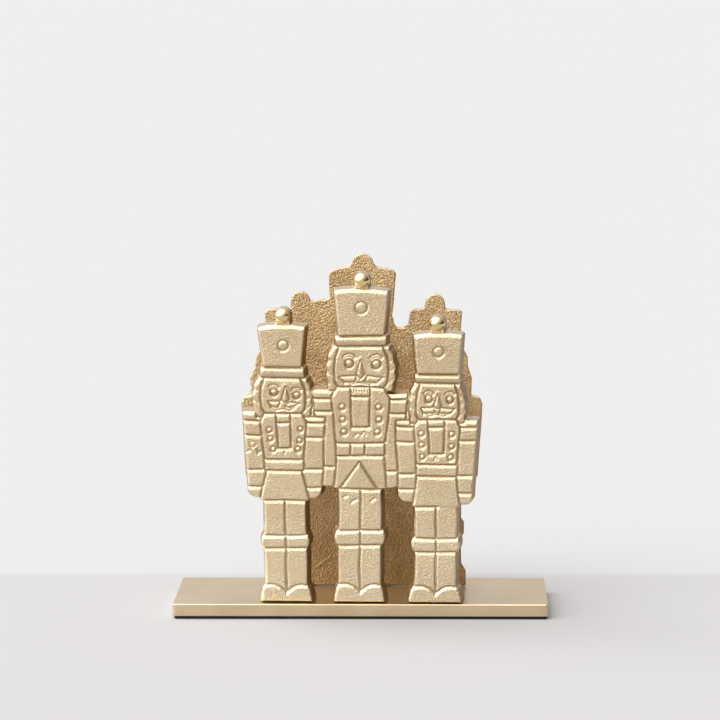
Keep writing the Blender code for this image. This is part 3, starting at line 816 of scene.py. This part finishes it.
def castGold(name, finish):
    # Cast aluminium, sand finish under a gold lacquer: a soft sheen broken by fine grain, and
    # painted shade, a darker brown, in the cut lines.
    material, tree, shader = newMaterial(name)
    place = objectPlace(tree)
    grain = noise(tree, place, finish["grainSize"], 3.0, Roughness=0.6)
    tone = clouded(tree, place, 14, finish["mid"], finish["pale"])
    pits = fitted(tree, grain, 0.62, 0.3, toMax=finish["speckle"])
    pitted = laidOver(tree, pits, tone, finish["dark"])
    groove_shade = addNode(tree, "ShaderNodeAttribute", {"attribute_name": "groove_shade"}).outputs["Fac"]
    # painted shade: the cut lines are darkened towards the dark brown
    grooveShaded = laidOver(tree, fitted(tree, groove_shade, 0.45, 0.95), pitted, finish["dark"])
    # painted light and shade low down: the fronts are painted paler there, the inner faces painted darker
    # as shade
    height = addNode(tree, "ShaderNodeSeparateXYZ", Vector=place).outputs["Z"]
    low = fitted(tree, height, footHeights["start"], footHeights["full"], toMax=finish["footShare"])
    footLightAndShade = laidOver(tree, low, grooveShaded, finish["foot"])
    # the sides of the plates were left unbuffed: darker, duller, and with no lacquer on top
    side = addNode(tree, "ShaderNodeAttribute", {"attribute_name": "side"}).outputs["Fac"]
    colour = laidOver(tree, fitted(tree, side, toMax=sideFinish["share"]), footLightAndShade, sideFinish["sideTone"])
    tree.links.new(colour, shader.inputs["Base Color"])
    tree.links.new(fitted(tree, side, toMin=finish["lacquer"], toMax=0.0), shader.inputs["Coat Weight"])
    even = fitted(tree, grain, toMin=finish["roughness"] - 0.05, toMax=finish["roughness"] + 0.05)
    duller = fitted(tree, side, toMax=sideFinish["duller"])
    rough = addNode(tree, "ShaderNodeMath", {"operation": "ADD"}, i0=even, i1=duller)
    tree.links.new(rough.outputs[0], shader.inputs["Roughness"])
    embossed(tree, shader, grain, finish["grainDepth"])
    shader.inputs["Metallic"].default_value = 1.0
    shader.inputs["Coat Roughness"].default_value = 0.25
    return material


# foot is painted light, paler low on the fronts; dark also paints shade into the cut lines
goldFace = castGold("gold_lacquered_cast_aluminium", {
    "pale": "#d0bc9a", "mid": "#c7b28e", "dark": "#826035", "foot": "#f4e4c4", "footShare": 0.25,
    "grainSize": 0.85, "grainDepth": 0.46, "speckle": 0.34, "roughness": 0.33, "lacquer": 1.0,
})
# foot is painted shade, darker low on the inner faces; dark also paints shade into the cut lines
goldInner = castGold("gold_lacquered_sand_cast_skin", {
    "pale": "#cfb68d", "mid": "#ba9e75", "dark": "#64451f", "foot": "#64451f", "footShare": 0.43,
    "grainSize": 0.95, "grainDepth": 0.85, "speckle": 0.55, "roughness": 0.38, "lacquer": 0.1,
})


def polishedGold():
    # the same lacquered metal buffed to a mirror with a faint haze
    material, tree, shader = newMaterial("gold_lacquered_buffed_aluminium")
    haze = noise(tree, objectPlace(tree), 1.5, 3.0)
    tree.links.new(fitted(tree, haze, toMin=0.08, toMax=0.16), shader.inputs["Roughness"])
    shader.inputs["Base Color"].default_value = linear("#dfc795")
    shader.inputs["Metallic"].default_value = 1.0
    return material


goldBall = polishedGold()
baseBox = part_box("base_plate")
frontY = baseBox[0].y + (frontPlate["margin"] + frontPlate["thickness"]) * mm
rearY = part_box("rear_casting")[0].y
golds = (goldFace, goldInner)
frontCasting = makeCasting("front_soldiers_casting", frontPlate, frontFigures, frontY, golds)
rearCasting = makeCasting("rear_soldiers_casting", rearPlate, rearFigures, rearY, golds)
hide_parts("front_casting")
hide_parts("rear_casting")


def makePompoms(name, plate, soldiers, plateY):
    # the buffed front of each pompom, a hair's breadth proud of the casting
    bm = bmesh.new()
    radius = pompomShape["radius"]
    middle = plate["thickness"] - radius
    angles = [math.pi * (i / 20 - 0.5) for i in range(21)]
    ball = [(radius * math.cos(a), middle + radius * math.sin(a)) for a in angles]
    for s in soldiers:
        addTurned(bm, ball, pompomPlace(s, plate), (0.0, plate["facing"], 0.0), 40)
    bmesh.ops.recalc_face_normals(bm, faces=bm.faces)
    thing = newObject(name, bm)
    setPoints(thing.data, placePlate(addWobble(pointsOf(thing.data)), plate, plateY))
    thing.data.materials.append(goldBall)
    thing.data.shade_smooth()
    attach(thing, "root")


makePompoms("front_pompoms", frontPlate, frontFigures, frontY)
makePompoms("rear_pompoms", rearPlate, rearFigures, rearY)
print("pompoms done")


def satinGold():
    # rolled aluminium under the same lacquer, rubbed to a satin along its length
    material, tree, shader = newMaterial("gold_lacquered_satin_aluminium")
    place = objectPlace(tree)
    along = addNode(tree, "ShaderNodeMapping", {"Scale": (0.08, 1.0, 1.0)}, Vector=place)
    rub = noise(tree, along.outputs[0], 0.35, 4.0)
    tree.links.new(clouded(tree, place, 22, "#d1ba95", "#dac5a1"), shader.inputs["Base Color"])
    tree.links.new(fitted(tree, rub, toMin=0.3, toMax=0.42), shader.inputs["Roughness"])
    embossed(tree, shader, rub, 0.012)
    shader.inputs["Metallic"].default_value = 1.0
    shader.inputs["Coat Weight"].default_value = 0.6
    shader.inputs["Coat Roughness"].default_value = 0.3
    return material


def feltBlack():
    # pressed wool felt: dull, with short fibres that lie every way
    material, tree, shader = newMaterial("pressed_wool_felt")
    fibre = noise(tree, objectPlace(tree), 0.4, 5.0, Distortion=2.0)
    tone = addNode(tree, "ShaderNodeValToRGB", Fac=fibre)
    ramp(tone, (0.3, "#0c0a08"), (0.7, "#1c1813"))
    tree.links.new(tone.outputs["Color"], shader.inputs["Base Color"])
    embossed(tree, shader, fibre, 0.25)
    shader.inputs["Roughness"].default_value = 0.95
    shader.inputs["Sheen Weight"].default_value = 0.1
    return material


def zincSteel():
    # zinc-plated steel screw: cool grey, with faint turning marks
    material, tree, shader = newMaterial("zinc_plated_steel")
    marks = noise(tree, objectPlace(tree), 0.5, 3.0)
    tree.links.new(fitted(tree, marks, toMin=0.28, toMax=0.42), shader.inputs["Roughness"])
    shader.inputs["Base Color"].default_value = linear("#c3c6c9")
    shader.inputs["Metallic"].default_value = 1.0
    return material


def makeSlab(name, box, shape, material, node):
    # a flat block with rounded corners and softened edges
    bm = bmesh.new()
    size, middle = box[1] - box[0], (box[0] + box[1]) / 2
    bmesh.ops.create_cube(bm, size=1.0)
    bmesh.ops.scale(bm, vec=size, verts=bm.verts)
    upright = [e for e in bm.edges if abs(e.verts[0].co.z - e.verts[1].co.z) > 0.5 * size.z]
    bmesh.ops.bevel(bm, geom=upright, offset=shape["corner"] * mm, segments=8, profile=0.5,
                    affect="EDGES", material=-1)
    rims = [e for e in bm.edges if abs(e.verts[0].co.z - e.verts[1].co.z) < 0.01 * mm]
    bmesh.ops.bevel(bm, geom=rims, offset=shape["edge"] * mm, segments=5, profile=0.5,
                    affect="EDGES", material=-1)
    bmesh.ops.translate(bm, vec=middle, verts=bm.verts)
    thing = newObject(name, bm)
    thing.data.materials.append(material)
    thing.data.shade_smooth()
    thing.data.set_sharp_from_angle(angle=math.radians(40))
    weighted = thing.modifiers.new("flat faces", "WEIGHTED_NORMAL")
    weighted.keep_sharp = True
    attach(thing, "root")
    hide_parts(node)


baseShape = {"corner": 1.6, "edge": 0.5}
feltShape = {"corner": 1.6, "edge": 0.25}
makeSlab("satin_base_plate", baseBox, baseShape, satinGold(), "base_plate")
makeSlab("felt_underlay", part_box("felt_pad"), feltShape, feltBlack(), "felt_pad")
zinc = zincSteel()
for name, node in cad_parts.items():
    if name.endswith("_screw"):
        node.data.materials.clear()
        node.data.materials.append(zinc)
print("base, felt and screws done")


# The studio: a pale floor, lighter further back, and a soft surround, bright above and to the left.
studio = {
    "tableTop": "#959495", "farFloor": "#9b9b9c", "tableEnd": 0.085, "tableFade": 0.01, "floorReach": 60.0,
    "backdrop": "#ebebea", "behind": "#5e5d5c", "strength": 5.6, "brightest": (-0.62, -0.12, 0.78),
    # from the side that faces away from the brightest place to that place itself
    "levels": ((0.0, "#212020"), (0.34, "#242322"), (0.48, "#4f4d4b"), (0.56, "#5e5c5a"), (0.72, "#7d7b78"),
               (0.84, "#bab8b4"), (0.93, "#ffffff")),
}


def makeFloor():
    # a dull table top that reflects nothing
    bm = bmesh.new()
    bmesh.ops.create_grid(bm, x_segments=1, y_segments=1, size=studio["floorReach"])
    floor = newObject("studio_floor", bm)
    material, tree, shader = newMaterial("pale_table_top")
    back = addNode(tree, "ShaderNodeSeparateXYZ", Vector=objectPlace(tree)).outputs["Y"]
    share = fitted(tree, back, studio["tableEnd"], studio["tableEnd"] + studio["tableFade"])
    tone = addNode(tree, "ShaderNodeValToRGB", Fac=share)
    ramp(tone, (0.0, studio["tableTop"]), (1.0, studio["farFloor"]))
    tree.links.new(tone.outputs["Color"], shader.inputs["Base Color"])
    shader.inputs["Roughness"].default_value = 0.9
    shader.inputs["Specular IOR Level"].default_value = 0.0
    floor.data.materials.append(material)


def makeSurround():
    # lights the object from all round; the camera itself sees a plain backdrop
    world = bpy.data.worlds.new("studio_surround")
    world.use_nodes = True
    tree = world.node_tree
    light = tree.nodes["Background"]
    direction = addNode(tree, "ShaderNodeTexCoord").outputs["Generated"]
    towards = addNode(tree, "ShaderNodeVectorMath", {"operation": "DOT_PRODUCT"}, i0=direction)
    towards.inputs[1].default_value = Vector(studio["brightest"]).normalized()
    level = addNode(tree, "ShaderNodeValToRGB", Fac=fitted(tree, towards.outputs["Value"], -1.0, 1.0))
    ramp(level, *studio["levels"])
    back = addNode(tree, "ShaderNodeSeparateXYZ", Vector=direction).outputs["Y"]
    mixed = laidOver(tree, fitted(tree, back, 0.45, 0.85), level.outputs["Color"], studio["behind"])
    tree.links.new(mixed, light.inputs["Color"])
    light.inputs["Strength"].default_value = studio["strength"]
    plain = addNode(tree, "ShaderNodeBackground", {"Color": linear(studio["backdrop"]), "Strength": 1.0})
    seen = addNode(tree, "ShaderNodeLightPath")
    both = addNode(tree, "ShaderNodeMixShader", i0=seen.outputs["Is Camera Ray"], i1=light.outputs[0],
                   i2=plain.outputs[0])
    tree.links.new(both.outputs[0], tree.nodes["World Output"].inputs["Surface"])
    bpy.context.scene.world = world


makeFloor()
makeSurround()

# The camera stands 1.8 m in front, a little above and to the right, and looks slightly down.
lens = {"focal": 168.25, "place": (0.0429, -1.7955, 0.3645), "turn": -1.385, "down": 7.302, "roll": -0.184}
cameraData = bpy.data.cameras.new("camera")
cameraData.lens = lens["focal"]
cameraData.sensor_width = 36.0
cameraData.clip_start = 0.05
cameraData.clip_end = 50.0
camera = bpy.data.objects.new("camera", cameraData)
yaw, pitch, roll = (math.radians(lens[key]) for key in ("turn", "down", "roll"))
forward = Vector((math.sin(yaw) * math.cos(pitch), math.cos(yaw) * math.cos(pitch), -math.sin(pitch)))
right = Vector((math.cos(yaw), -math.sin(yaw), 0.0))
above = right.cross(forward)
rolledRight = right * math.cos(roll) + above * math.sin(roll)
rolledUp = -right * math.sin(roll) + above * math.cos(roll)
camera.matrix_world = Matrix((
    (rolledRight.x, rolledUp.x, -forward.x, lens["place"][0]),
    (rolledRight.y, rolledUp.y, -forward.y, lens["place"][1]),
    (rolledRight.z, rolledUp.z, -forward.z, lens["place"][2]),
    (0.0, 0.0, 0.0, 1.0),
))
bpy.context.collection.objects.link(camera)
bpy.context.scene.camera = camera
bpy.context.scene.view_settings.view_transform = "Standard"
